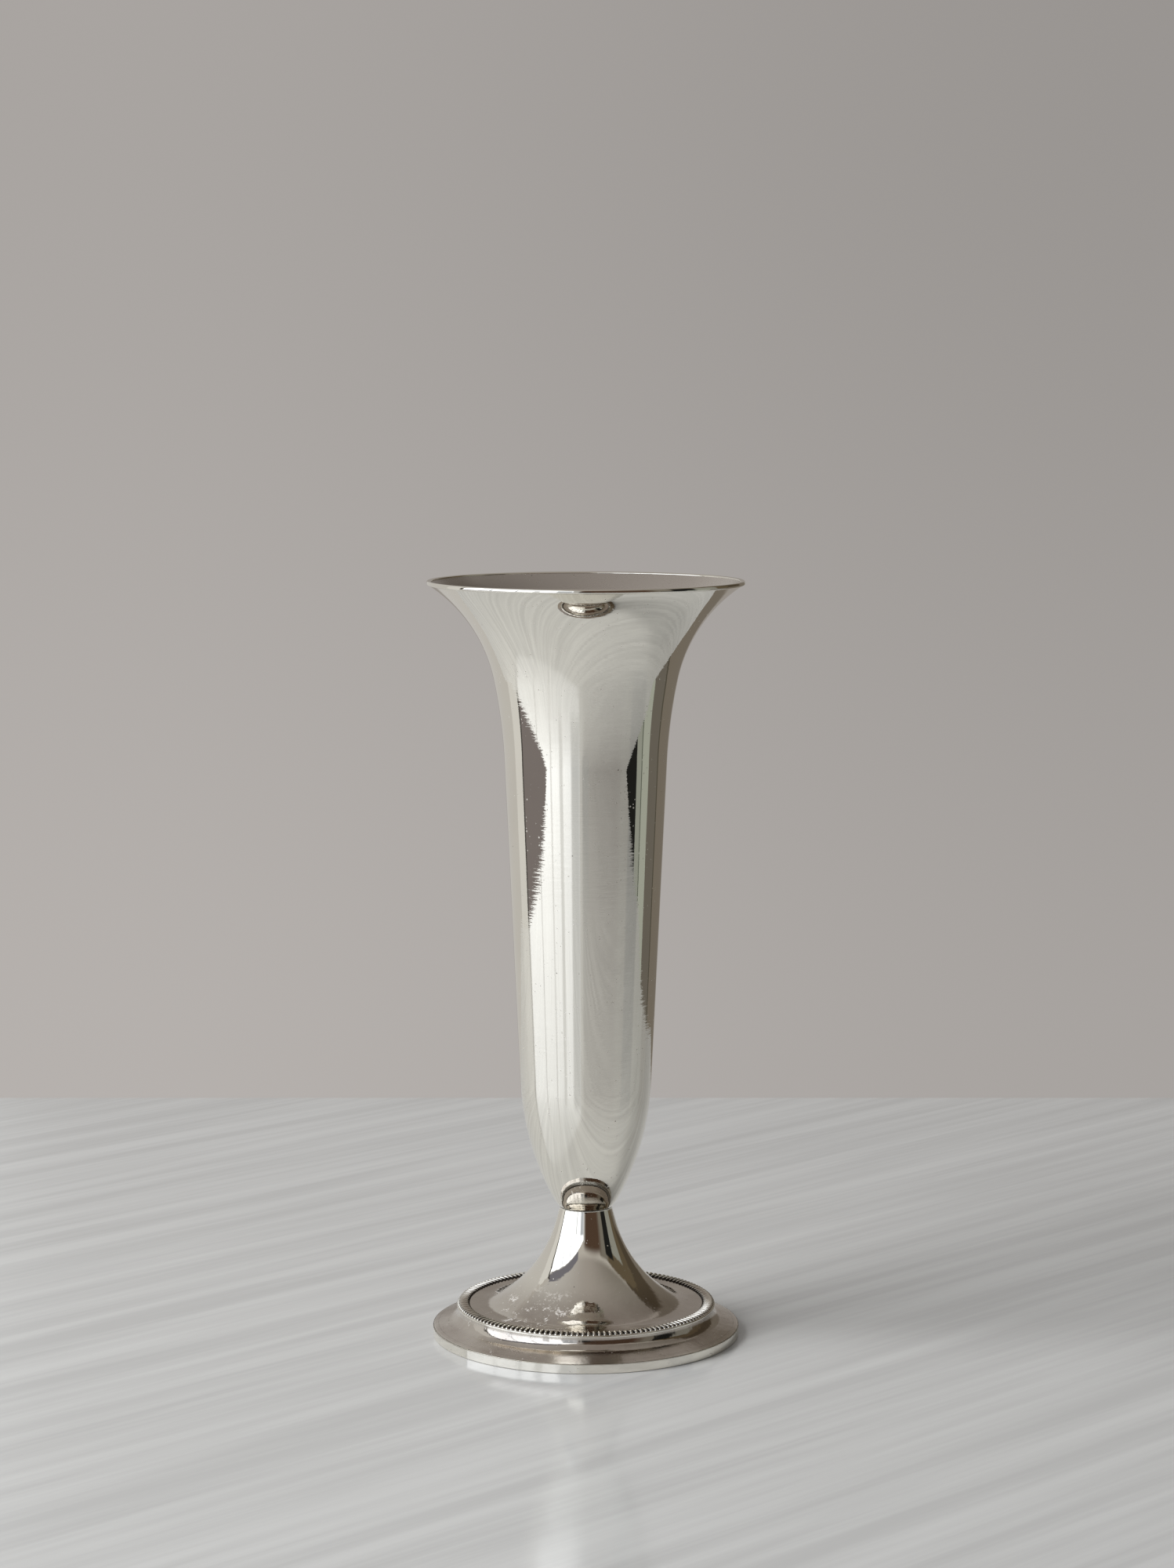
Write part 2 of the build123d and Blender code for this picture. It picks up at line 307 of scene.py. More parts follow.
def body_side(sizes, inset, fineness):
    """The body's side from waist to mouth, inset from its outer face."""
    height = cad_high.z
    arcs = (
        (sizes.bowl_base_radius, sizes.waist_lean, sizes.bowl_base_lean, 12),
        (sizes.bowl_radius, sizes.bowl_base_lean, sizes.side_lean, 36),
        (sizes.flare_radius, sizes.side_lean, sizes.flare_lean, 24),
        (sizes.mouth_arc_radius, sizes.flare_lean, sizes.mouth_lean, 56),
    )
    arcs_rise = sum(radius * abs(sin(start) - sin(end)) for radius, start, end, pieces in arcs)
    seat_depth = sizes.lip_radius * sqrt(1 - sizes.lip_seat_share**2)
    lip_height = height - sizes.lip_radius
    mouth_height = lip_height - seat_depth * cos(sizes.mouth_lean) - sizes.wall / 2 * sin(sizes.mouth_lean)
    side_length = (mouth_height - WAIST_HEIGHT - arcs_rise) / cos(sizes.side_lean)
    start_radius = sizes.waist_radius - inset * cos(sizes.waist_lean)
    start_height = WAIST_HEIGHT + inset * sin(sizes.waist_lean)
    side = Outline(start_radius, start_height)
    for number, (radius, lean_from, lean_to, pieces) in enumerate(arcs):
        grows = 1 if lean_to > lean_from else -1
        side.arc(radius + grows * inset, lean_from, lean_to, steps(pieces, fineness))
        if number == 1:
            end_radius, end_height = side.points[-1]
            end_radius += side_length * sin(sizes.side_lean)
            end_height += side_length * cos(sizes.side_lean)
            side.line(end_radius, end_height, steps(48, fineness, 8))
    return side.points


def body_outline(sizes):
    """The body's half section, from under its floor up the outside and down the inside."""
    outer = body_side(sizes, 0, 1.0)
    inner = body_side(sizes, sizes.wall, 0.5)
    under = Outline(0, WAIST_HEIGHT)
    under.line(*outer[0], 6)
    corner = len(under.points) - 1
    under.points += outer[1:]
    under.soften(corner, sizes.waist_rounding)
    within = Outline(*inner[-1])
    within.points += inner[-2::-1]
    within.line(0, WAIST_HEIGHT + sizes.floor_thickness, 5)
    return [(under.points, 0.0), (within.points, 1.0)]


def lip_outline(sizes):
    """The lip wire's section: a soft square that faces outwards and a little up.

    It has a flat where it sits on the body's edge.
    """
    outer_edge = Vector(body_side(sizes, 0, 1.0)[-1])
    inner_edge = Vector(body_side(sizes, sizes.wall, 1.0)[-1])
    onward = Vector((sin(sizes.mouth_lean), cos(sizes.mouth_lean)))
    seat_depth = sizes.lip_radius * sqrt(1 - sizes.lip_seat_share**2)
    centre = (outer_edge + inner_edge) / 2 + onward * seat_depth
    facing = Vector((cos(sizes.lip_tilt), sin(sizes.lip_tilt)))
    upward = Vector((-facing.y, facing.x))
    reach = sizes.lip_radius / (facing.x**1.5 + facing.y**1.5) ** (2 / 3)
    spots = []
    for i in range(LIP_STEPS + 1):
        along, across = cos(FULL_TURN * i / LIP_STEPS), sin(FULL_TURN * i / LIP_STEPS)
        squared = reach / (abs(along) ** 3 + abs(across) ** 3) ** (1 / 3)
        spot = squared * (along * facing + across * upward)
        spot += onward * max(0.0, -seat_depth - spot.dot(onward))
        spots.append(tuple(centre + spot))
    return [(spots, 0.0)]


def foot_levels(sizes):
    """Radii and heights that the foot's pieces share."""
    step = BASE_RADIUS - sizes.flange_width
    cove_radius = step + sizes.cove_radius
    cove_foot = cove_radius - sizes.cove_radius * sin(sizes.flange_slope)
    cove_foot_height = sizes.band_height + (BASE_RADIUS - cove_foot) * tan(sizes.flange_slope)
    cove_height = cove_foot_height + sizes.cove_radius * cos(sizes.flange_slope)
    border_outer = step + sizes.border_overhang
    return {
        "cove_radius": cove_radius,
        "cove_height": cove_height,
        "seat": cove_height + sizes.cove_undercut,
        "border_outer": border_outer,
        "border_inner": border_outer - sizes.border_width,
        "band_inner": BASE_RADIUS - sizes.band_thickness,
    }


def foot_side(sizes, inset, fineness):
    """The foot's side from collar to flange, inset from its outer face."""
    level = foot_levels(sizes)
    side = Outline(sizes.neck_radius - inset, WAIST_HEIGHT - inset)
    side.line(sizes.neck_radius - inset, WAIST_HEIGHT - sizes.collar_height, 6)
    neck_radius, stem_radius = sizes.neck_arc_radius + inset, sizes.stem_radius + inset
    side.arc(neck_radius, sizes.neck_top_lean, sizes.neck_lean, steps(14, fineness), -1)
    side.arc(stem_radius, sizes.neck_lean, sizes.stem_lean, steps(44, fineness), -1)
    seat = level["seat"] - inset
    plate_drop = side.points[-1][1] - seat - sizes.plate_lift
    plate_radius = plate_drop / (1 - sin(sizes.stem_lean))
    side.arc(plate_radius, sizes.stem_lean, FLAT, steps(36, fineness), -1)
    plate_edge = level["border_inner"] - STRIP_GAP - inset
    side.line(plate_edge, seat + sizes.plate_lift, steps(8, fineness))
    side.line(plate_edge, seat, 3)
    cove = sizes.cove_radius + inset
    step_lean = asin((level["cove_height"] - seat) / cove)
    side.line(level["cove_radius"] - cove * cos(step_lean), seat, steps(10, fineness))
    side.arc(cove, step_lean, FLAT - sizes.flange_slope, steps(36, fineness), -1)
    flange_end = level["band_inner"] - sizes.solder_gap
    flange_top = sizes.band_height + (BASE_RADIUS - flange_end) * tan(sizes.flange_slope)
    side.line(flange_end, flange_top - inset / cos(sizes.flange_slope), steps(12, fineness))
    return side.points


def foot_outline(sizes):
    """The foot's half section, down its inside and up its outside to the crown."""
    outer = foot_side(sizes, 0, 1.0)
    inner = foot_side(sizes, sizes.wall, 0.5)
    within = Outline(sizes.crown_hole, WAIST_HEIGHT - sizes.wall)
    within.line(*inner[0], 4)
    within.points += inner[1:]
    outside = Outline(*outer[-1])
    outside.points += outer[-2::-1]
    corner = len(outside.points) - 1
    outside.line(sizes.crown_hole, WAIST_HEIGHT, 4)
    outside.soften(corner, sizes.neck_rounding)
    outside.put(sizes.crown_hole, WAIST_HEIGHT - sizes.wall)
    return [(within.points, 1.0), (outside.points, 0.0)]


def band_outline(sizes):
    """The band's section, with its outer edges rounded."""
    inner = foot_levels(sizes)["band_inner"]
    ring = Outline(inner, 0)
    ring.line(BASE_RADIUS, 0, 6)
    base_corner = len(ring.points) - 1
    ring.line(BASE_RADIUS, sizes.band_height, 10)
    top_corner = len(ring.points) - 1
    ring.line(inner, sizes.band_height + sizes.band_thickness * tan(sizes.flange_slope), 8)
    ring.line(inner, 0, 3)
    ring.soften(top_corner, sizes.band_rounding, 8)
    ring.soften(base_corner, sizes.band_base_rounding, 4)
    return [(ring.points, 0.0)]


def border_outline(sizes):
    """The section of the strip under the border's lobes, with a plain sloping edge outside them."""
    level = foot_levels(sizes)
    top = level["seat"] + sizes.border_base
    ring = Outline(level["border_inner"], level["seat"])
    ring.line(level["border_outer"], level["seat"], 5)
    lower = len(ring.points) - 1
    ring.line(level["border_outer"], top - sizes.border_edge_drop, 2)
    upper = len(ring.points) - 1
    ring.line(level["border_outer"] - sizes.border_edge, top, 6)
    ring.line(level["border_inner"], top, 8)
    ring.line(level["border_inner"], level["seat"], 2)
    ring.soften(upper, sizes.border_rounding * 0.6, 6)
    ring.soften(lower, sizes.border_rounding * 0.5, 6)
    return [(ring.points, 0.0)]


def table_mesh(settings):
    """A flat table top with round corners, from its plan."""
    back = TABLE_PLAN[0][1] * MM
    plan = Outline(0.0, back)
    for x, y in TABLE_PLAN:
        plan.put(x * MM, y * MM)
    plan.put(0.0, back)
    for corner in range(len(TABLE_PLAN), 0, -1):
        plan.soften(corner, settings.table_corner, 10)
    edge = plan.points[:-1]
    below = TABLE_LEVEL - settings.table_thickness
    count = len(edge)
    points = [(x, y, below) for x, y in edge] + [(x, y, TABLE_LEVEL) for x, y in edge]
    faces = [(i, (i + 1) % count, count + (i + 1) % count, count + i) for i in range(count)]
    faces += [tuple(reversed(range(count))), tuple(range(count, 2 * count))]
    mesh = bpy.data.meshes.new("table_top")
    mesh.from_pydata(points, [], faces)
    return mesh


# Node trees


class NodeSheet:
    """Short words for adding nodes to one tree and joining them."""

    def __init__(self, tree):
        self.tree = tree

    def join(self, value, socket):
        """Lead a socket into another one, or set a plain value on it."""
        if isinstance(value, bpy.types.NodeSocket):
            self.tree.links.new(value, socket)
        else:
            socket.default_value = value

    def node(self, kind, inputs=(), **settings):
        made = self.tree.nodes.new(kind)
        for key, value in settings.items():
            setattr(made, key, value)
        for key, value in dict(inputs).items():
            self.join(value, made.inputs[key])
        return made

    def math(self, operation, *values):
        made = self.node("ShaderNodeMath", operation=operation)
        for value, socket in zip(values, made.inputs):
            self.join(value, socket)
        return made.outputs[0]

    def whole(self, operation, *values):
        made = self.node("FunctionNodeIntegerMath", operation=operation)
        for value, socket in zip(values, made.inputs):
            self.join(value, socket)
        return made.outputs[0]

    def total(self, first, *others):
        """A value and others added to it, each times its weight."""
        for value, weight in others:
            first = self.math("ADD", first, self.math("MULTIPLY", value, weight))
        return first

    def flat_distance(self, x, y):
        """Length of a way along X and Y."""
        squares = self.math("ADD", self.math("MULTIPLY", x, x), self.math("MULTIPLY", y, y))
        return self.math("SQRT", squares)

    def split(self, vector):
        return self.node("ShaderNodeSeparateXYZ", {"Vector": vector}).outputs

    def vector(self, x, y, z):
        return self.node("ShaderNodeCombineXYZ", {"X": x, "Y": y, "Z": z}).outputs[0]

    def span(self, value, low, high, to_low=0.0, to_high=1.0):
        """Ease a value from one range into another. A low above its high turns it round."""
        made = self.node("ShaderNodeMapRange", interpolation_type="SMOOTHSTEP")
        keys = ("Value", "From Min", "From Max", "To Min", "To Max")
        for key, given in zip(keys, (value, low, high, to_low, to_high)):
            self.join(given, made.inputs[key])
        return made.outputs[0]

    def between(self, value, low, high, softness):
        """1 between two limits and 0 outside them, with soft edges."""
        rising = self.span(value, low - softness, low + softness)
        falling = self.span(value, high + softness, high - softness)
        return self.math("MULTIPLY", rising, falling)

    def near(self, value, centre, core, reach):
        """1 within a core distance of a value, easing to 0 at a reach."""
        away = self.math("ABSOLUTE", self.math("SUBTRACT", value, centre))
        return self.span(away, reach, core)

    def blend(self, share, first, second):
        """Mix two colours."""
        made = self.node("ShaderNodeMix", data_type="RGBA")
        for number, value in ((0, share), (6, first), (7, second)):
            self.join(value, made.inputs[number])
        return made.outputs[2]

    def noise(self, vector, scale, detail=2.0, roughness=0.5):
        inputs = {"Scale": scale, "Detail": detail, "Roughness": roughness, "Vector": vector}
        return self.node("ShaderNodeTexNoise", inputs).outputs[0]

    def spots(self, vector, scale, size, share):
        """Round spots of a size in cells, in some of the cells only."""
        cells = self.node("ShaderNodeTexVoronoi", {"Vector": vector, "Scale": scale})
        chosen = self.math("LESS_THAN", self.split(cells.outputs["Color"])[0], share)
        return self.math("MULTIPLY", self.span(cells.outputs["Distance"], size, size * 0.5), chosen)

    def bump(self, height, depth, strength=1.0):
        """A surface direction that follows a height."""
        inputs = {"Strength": strength, "Distance": depth, "Height": height}
        return self.node("ShaderNodeBump", inputs).outputs[0]


def opaque(shade):
    """A colour with full alpha, as sockets want it."""
    return (*shade, 1.0)


def node_tree(name, sockets):
    """A new geometry tree with named inputs and one geometry output, and its input node."""
    tree = bpy.data.node_groups.new(name, "GeometryNodeTree")
    for label, kind in sockets:
        tree.interface.new_socket(name=label, in_out="INPUT", socket_type=kind)
    tree.interface.new_socket(name="Piece", in_out="OUTPUT", socket_type="NodeSocketGeometry")
    sheet = NodeSheet(tree)
    return tree, sheet, sheet.node("NodeGroupInput").outputs


def end_tree(sheet, geometry, finish):
    """Shade the piece smooth except at sharp edges, and end the tree in a plain mesh with its material."""
    smooth = sheet.node("GeometryNodeSetShadeSmooth", {"Geometry": geometry}, domain="FACE")
    angle = sheet.node("GeometryNodeInputMeshEdgeAngle").outputs["Unsigned Angle"]
    sharp = sheet.node("FunctionNodeCompare", {"A": angle, "B": SHARP_EDGE}, operation="GREATER_THAN")
    edges = sheet.node("GeometryNodeSetShadeSmooth", {"Geometry": smooth.outputs[0]}, domain="EDGE")
    sheet.join(sharp.outputs[0], edges.inputs["Selection"])
    sheet.join(False, edges.inputs["Shade Smooth"])
    real = sheet.node("GeometryNodeRealizeInstances", {"Geometry": edges.outputs[0]})
    painted = sheet.node("GeometryNodeSetMaterial", {"Geometry": real.outputs[0], "Material": finish})
    sheet.node("NodeGroupOutput", {"Piece": painted.outputs[0]})


def spun_shell_tree():
    """Spins an outline: a grid with a row for each of its points and a column for each step round."""
    if "Spun shell" in bpy.data.node_groups:
        return bpy.data.node_groups["Spun shell"]
    tree, sheet, given = node_tree(
        "Spun shell",
        (
            ("Outline", "NodeSocketGeometry"),
            ("Segments", "NodeSocketInt"),
            ("Finish", "NodeSocketMaterial"),
        ),
    )
    points = sheet.node("GeometryNodeAttributeDomainSize", {"Geometry": given["Outline"]})
    rows = points.outputs["Point Count"]
    columns = sheet.whole("ADD", given["Segments"], 1)
    grid = sheet.node(
        "GeometryNodeMeshGrid", {"Size X": 1.0, "Size Y": 1.0, "Vertices X": rows, "Vertices Y": columns}
    )
    index = sheet.node("GeometryNodeInputIndex").outputs[0]
    row = sheet.whole("DIVIDE_FLOOR", index, columns)
    column = sheet.whole("FLOORED_MODULO", index, columns)
    on_row = {"Geometry": given["Outline"], "Index": row}
    point = sheet.node("GeometryNodeSampleIndex", on_row, data_type="FLOAT_VECTOR")
    sheet.join(sheet.node("GeometryNodeInputPosition").outputs[0], point.inputs["Value"])
    radius, _, height = sheet.split(point.outputs[0])
    turn = sheet.math("MULTIPLY", sheet.math("DIVIDE", column, given["Segments"]), -FULL_TURN)
    across = sheet.math("MULTIPLY", radius, sheet.math("COSINE", turn))
    along = sheet.math("MULTIPLY", radius, sheet.math("SINE", turn))
    inside = sheet.node("GeometryNodeSampleIndex", on_row, data_type="FLOAT")
    marked = sheet.node("GeometryNodeInputNamedAttribute", {"Name": "inside"}, data_type="FLOAT")
    sheet.join(marked.outputs[0], inside.inputs["Value"])
    mapped = sheet.node(
        "GeometryNodeStoreNamedAttribute",
        {"Geometry": grid.outputs["Mesh"], "Name": "UVMap"},
        data_type="FLOAT2",
        domain="CORNER",
    )
    sheet.join(grid.outputs["UV Map"], mapped.inputs["Value"])
    sided = sheet.node(
        "GeometryNodeStoreNamedAttribute",
        {"Geometry": mapped.outputs[0], "Name": "inside"},
        data_type="FLOAT",
        domain="POINT",
    )
    sheet.join(inside.outputs[0], sided.inputs["Value"])
    spun = sheet.node("GeometryNodeSetPosition", {"Geometry": sided.outputs[0]})
    sheet.join(sheet.vector(across, along, height), spun.inputs["Position"])
    closed = sheet.node("GeometryNodeMergeByDistance", {"Geometry": spun.outputs[0], "Distance": 1e-6})
    end_tree(sheet, closed.outputs[0], given["Finish"])
    return tree


def lobe_ring_tree():
    """Sets a lobe round the axis as often as its count says."""
    tree, sheet, given = node_tree(
        "Lobe ring",
        (("Lobe", "NodeSocketGeometry"), ("Count", "NodeSocketInt"), ("Finish", "NodeSocketMaterial")),
    )
    points = sheet.node("GeometryNodePoints", {"Count": given["Count"]})
    index = sheet.node("GeometryNodeInputIndex").outputs[0]
    turn = sheet.math("MULTIPLY", sheet.math("DIVIDE", index, given["Count"]), FULL_TURN)
    facing = sheet.node("FunctionNodeEulerToRotation", {"Euler": sheet.vector(0.0, 0.0, turn)})
    lobes = {"Points": points.outputs[0], "Instance": given["Lobe"]}
    ring = sheet.node("GeometryNodeInstanceOnPoints", lobes)
    sheet.join(facing.outputs[0], ring.inputs["Rotation"])
    end_tree(sheet, ring.outputs[0], given["Finish"])
    return tree


def shape_piece(name, tree, start, inputs):
    """Run a tree on a starting mesh and keep the result as a plain mesh object at the origin."""
    piece = bpy.data.objects.new(name, start)
    bpy.context.scene.collection.objects.link(piece)
    shaping = piece.modifiers.new("Shape", "NODES")
    shaping.node_group = tree
    for item in tree.interface.items_tree:
        if item.in_out == "INPUT" and item.name in inputs:
            shaping[item.identifier] = inputs[item.name]
    depsgraph = bpy.context.evaluated_depsgraph_get()
    mesh = bpy.data.meshes.new_from_object(piece.evaluated_get(depsgraph), depsgraph=depsgraph)
    if not mesh.polygons:
        raise RuntimeError(f"{name} came out empty")
    piece.modifiers.remove(shaping)
    piece.data = mesh
    mesh.name = name
    bpy.data.meshes.remove(start)
    return piece


def spin_piece(name, outline, segments, finish):
    """A spun piece from the stretches of its outline, each marked as an outer or inner face."""
    start = bpy.data.meshes.new(name + "_outline")
    spots = [(radius, 0, height) for points, inside in outline for radius, height in points]
    start.from_pydata(spots, [], [])
    marks = start.attributes.new("inside", "FLOAT", "POINT")
    marks.data.foreach_set("value", [inside for points, inside in outline for point in points])
    return shape_piece(name, spun_shell_tree(), start, {"Segments": segments, "Finish": finish})


def lobe_mesh(sizes):
    """One lobe of the border: a narrow rib with a full, rounded outer end."""
    level = foot_levels(sizes)
    base = level["seat"] + sizes.border_base - LOBE_ROOT
    crown = sizes.lobe_height + LOBE_ROOT
    inner = level["border_inner"] + LOBE_START
    length = level["border_outer"] - 0.45 * sizes.border_edge - inner
    pitch = FULL_TURN * (inner + length / 2) / sizes.lobe_count
    arch = [pi * i / 6 for i in range(7)]
    points, faces = [], []
    for along, width, height in LOBE_STATIONS:
        for angle in arch:
            across = pitch / 2 * width * cos(angle)
            points.append((inner + along * length, across, base + crown * height * sin(angle)))
    ring = len(arch)
    for span in range(len(LOBE_STATIONS) - 1):
        for i in range(ring):
            low, on = span * ring + i, span * ring + (i + 1) % ring
            faces.append((low, on, on + ring, low + ring))
    points.append((inner, 0, base + crown * LOBE_ENDS[0]))
    points.append((inner + length, 0, base + crown * LOBE_ENDS[1]))
    last = (len(LOBE_STATIONS) - 1) * ring
    for i in range(ring):
        faces.append(((i + 1) % ring, i, len(points) - 2))
        faces.append((last + i, last + (i + 1) % ring, len(points) - 1))
    mesh = bpy.data.meshes.new("border_lobe")
    mesh.from_pydata(points, [], faces)
    return mesh


# Finishes


def new_finish(name):
    """A material with an empty tree, and its shader."""
    finish = bpy.data.materials.new(name)
    finish.use_nodes = True
    finish.node_tree.nodes.clear()
    sheet = NodeSheet(finish.node_tree)
    shader = sheet.node("ShaderNodeBsdfPrincipled")
    sheet.node("ShaderNodeOutputMaterial", {"Surface": shader.outputs[0]})
    return finish, sheet, shader.inputs


def silver_plate(vase):
    """Polished plate with scuffs, pits, turning lines, a film on the foot, and seams darkened with tarnish
    and painted shade.
    """
    if "polished_plate" in bpy.data.materials:
        return bpy.data.materials["polished_plate"]
    finish, sheet, shader = new_finish("polished_plate")
    colours, level = vase.colours, foot_levels(vase.foot)
    place = sheet.node("ShaderNodeTexCoord").outputs["Object"]
    x, y, z = sheet.split(place)
    radius = sheet.flat_distance(x, y)
    inside = sheet.node("ShaderNodeAttribute", attribute_name="inside").outputs["Fac"]

    # Film of tarnish, thick on the foot's plate, thickest on its flange, and none on its band
    stem_height, plate_height = 17 * MM, 9 * MM
    cove_radius, flange_radius = 34.6 * MM, 36.4 * MM
    band_height, flange_height = 2.3 * MM, 2.8 * MM
    on_foot = sheet.span(z, stem_height, plate_height)
    cloud = sheet.span(sheet.noise(place, 55.0, 5.0, 0.6), 0.38, 0.70)
    faint = sheet.math("MULTIPLY", cloud, 0.05)
    flange = sheet.math("MULTIPLY", sheet.span(radius, cove_radius, flange_radius), on_foot)
    heavy = sheet.math("MULTIPLY", on_foot, sheet.total(0.52, (cloud, 0.32), (flange, 0.12)))
    heavy = sheet.math("MULTIPLY", heavy, sheet.span(z, band_height, flange_height))
    film = sheet.math("MAXIMUM", faint, heavy)
    shade = sheet.blend(film, opaque(colours.silver), opaque(colours.film))
    shade = sheet.blend(inside, shade, opaque(colours.inside))

    # Old tarnish and painted shade in the waist seam and at the foot of the border
    waist = sheet.near(z, WAIST_HEIGHT, 0.05 * MM, 0.22 * MM)
    border = sheet.near(radius, level["border_inner"], 0.03 * MM, 0.14 * MM)
    tarnish_and_shade = sheet.math("MAXIMUM", waist, sheet.math("MULTIPLY", border, on_foot))
    patchy = sheet.span(sheet.noise(place, 900.0, 3.0), 0.25, 0.55, 0.55, 0.98)
    tarnish_and_shade = sheet.math("MULTIPLY", tarnish_and_shade, patchy)
    shade = sheet.blend(tarnish_and_shade, shade, opaque(colours.tarnish_and_shade))

    # A few dark pits, dull scuffs in groups, and fine lines round the axis from turning
    pits = sheet.spots(place, 260.0, 0.06, 0.22)
    shade = sheet.blend(sheet.math("MULTIPLY", pits, 0.65), shade, opaque(colours.tarnish_and_shade))
    groups = sheet.span(sheet.noise(place, 160.0, 3.0, 0.6), 0.47, 0.60)
    scuffs = sheet.math("MULTIPLY", sheet.spots(place, 900.0, 0.26, 0.42), groups)
    around = sheet.vector(
        sheet.math("MULTIPLY", sheet.math("DIVIDE", x, radius), 3.0),
        sheet.math("MULTIPLY", sheet.math("DIVIDE", y, radius), 3.0),
        sheet.math("MULTIPLY", z, 1000.0),
    )
    lines = sheet.noise(around, 1.0, 3.0, 0.6)
    lined = sheet.span(sheet.noise(place, 28.0), 0.42, 0.60, 0.25, 1.60)

    # Whitish bloom on the plate, thickest at the front left
    bloom_x, bloom_y = -14 * MM, -17 * MM
    away = sheet.flat_distance(sheet.math("SUBTRACT", x, bloom_x), sheet.math("SUBTRACT", y, bloom_y))
    thick = sheet.span(away, 24 * MM, 4 * MM, 0.0, 0.10)
    grains = sheet.noise(place, 1500.0, 4.0, 0.7)
    clumps = sheet.noise(place, 230.0, 3.0, 0.6)
    grainy = sheet.total(thick, (grains, 0.5), (clumps, 0.5))
    outer_foot = sheet.math("MULTIPLY", on_foot, sheet.math("SUBTRACT", 1.0, inside))
    bloom = sheet.math("MULTIPLY", sheet.span(grainy, 0.635, 0.72), outer_foot)
    shade = sheet.blend(bloom, shade, opaque(colours.bloom))
    sheet.join(shade, shader["Base Color"])
    sheet.join(sheet.total(1.0, (bloom, -0.5), (inside, -0.2)), shader["Metallic"])

    # Roughness: smudges and scuffs, and duller where there is film, bloom or no polish
    smudges = sheet.span(sheet.noise(place, 90.0, 4.0, 0.6), 0.45, 0.75, 0.012, 0.045)
    dulled = sheet.math("MAXIMUM", bloom, tarnish_and_shade)
    rough = sheet.total(
        smudges,
        (scuffs, 0.50),
        (pits, 0.25),
        (heavy, 0.12),
        (flange, 0.09),
        (inside, 0.24),
        (dulled, 0.40),
    )
    sheet.join(rough, shader["Roughness"])

    # Bump: slow waves from spinning and buffing, dents on the foot, turning lines, pits and bloom
    neck_height, stem_foot = 26 * MM, 12 * MM
    waves = sheet.noise(place, 130.0, 2.0, 0.45)
    dents = sheet.noise(place, 300.0, 2.0, 0.5)
    dented = sheet.span(z, neck_height, stem_foot, 0.0, 7.0)
    height = sheet.total(waves, (dents, dented), (lines, lined), (pits, -0.6), (bloom, 0.8))
    sheet.join(sheet.bump(height, 0.010 * MM), shader["Normal"])
    return finish


def border_silver(vase):
    """Bright lobes, darkened low down between them with tarnish and painted shade."""
    if "border_plate" in bpy.data.materials:
        return bpy.data.materials["border_plate"]
    finish, sheet, shader = new_finish("border_plate")
    colours, level = vase.colours, foot_levels(vase.foot)
    place = sheet.node("ShaderNodeTexCoord").outputs["Object"]
    x, y, z = sheet.split(place)
    radius = sheet.flat_distance(x, y)
    top = level["seat"] + vase.foot.border_base
    crown = vase.foot.lobe_height
    slot_end = level["border_inner"] + 2.85 * MM
    slot_fade = 0.3 * MM
    cloud = sheet.noise(place, 420.0, 4.0, 0.6)
    film = sheet.span(cloud, 0.35, 0.75, 0.0, 0.20)
    shade = sheet.blend(film, opaque(colours.silver), opaque(colours.film))
    # Tarnish and painted shade low down between the lobes, short of the plain outer edge
    low = sheet.span(z, top + 0.80 * crown, top + 0.35 * crown)
    within = sheet.span(radius, slot_end + slot_fade, slot_end - slot_fade)
    above = sheet.math("GREATER_THAN", z, top - LOBE_ROOT)
    gaps = sheet.math("MULTIPLY", sheet.math("MULTIPLY", low, within), above)
    dark = sheet.math("MULTIPLY", gaps, sheet.span(cloud, 0.2, 0.5, 0.78, 0.98))
    sheet.join(sheet.blend(dark, shade, opaque(colours.tarnish_and_shade)), shader["Base Color"])
    shader["Metallic"].default_value = 1.0
    rough = sheet.span(sheet.noise(place, 1500.0, 2.0), 0.3, 0.7, 0.07, 0.16)
    sheet.join(sheet.total(rough, (dark, 0.45)), shader["Roughness"])
    sheet.join(sheet.bump(cloud, 0.02 * MM), shader["Normal"])
    return finish


def brass_fastener(vase):
    """Turned brass, dulled in patches, with fine tool marks."""
    finish, sheet, shader = new_finish("turned_brass")
    place = sheet.node("ShaderNodeTexCoord").outputs["Object"]
    height = sheet.split(place)[2]
    dull = sheet.span(sheet.noise(place, 380.0, 4.0, 0.6), 0.35, 0.7)
    shade = sheet.blend(dull, opaque(vase.colours.brass), opaque(vase.colours.brass_dull))
    sheet.join(shade, shader["Base Color"])
    shader["Metallic"].default_value = 1.0
    sheet.join(sheet.span(dull, 0.0, 1.0, 0.24, 0.48), shader["Roughness"])
    marks = sheet.noise(sheet.vector(0.0, 0.0, height), 4000.0, 2.0)
    sheet.join(sheet.bump(marks, 0.02 * MM, 0.6), shader["Normal"])
    return finish


def table_finish(settings):
    """Pale table top with a satin gloss and a faint streak."""
    finish, sheet, shader = new_finish("table_top")
    place = sheet.node("ShaderNodeTexCoord").outputs["Object"]
    streaked = sheet.node("ShaderNodeMapping", {"Vector": place}, vector_type="TEXTURE")
    streaked.inputs["Rotation"].default_value = (0.0, 0.0, radians(45))
    streaked.inputs["Scale"].default_value = (0.30, 0.011, 1.0)
    streak = sheet.noise(streaked.outputs[0], 1.0, 4.0, 0.6)
    light = [1.09 * c for c in settings.table_shade]
    deep = [0.91 * c for c in settings.table_shade]
    shade = sheet.blend(sheet.span(streak, 0.3, 0.7), opaque(deep), opaque(light))
    sheet.join(shade, shader["Base Color"])
    sheet.join(sheet.span(streak, 0.3, 0.7, 0.11, 0.14), shader["Roughness"])
    return finish


# Stage


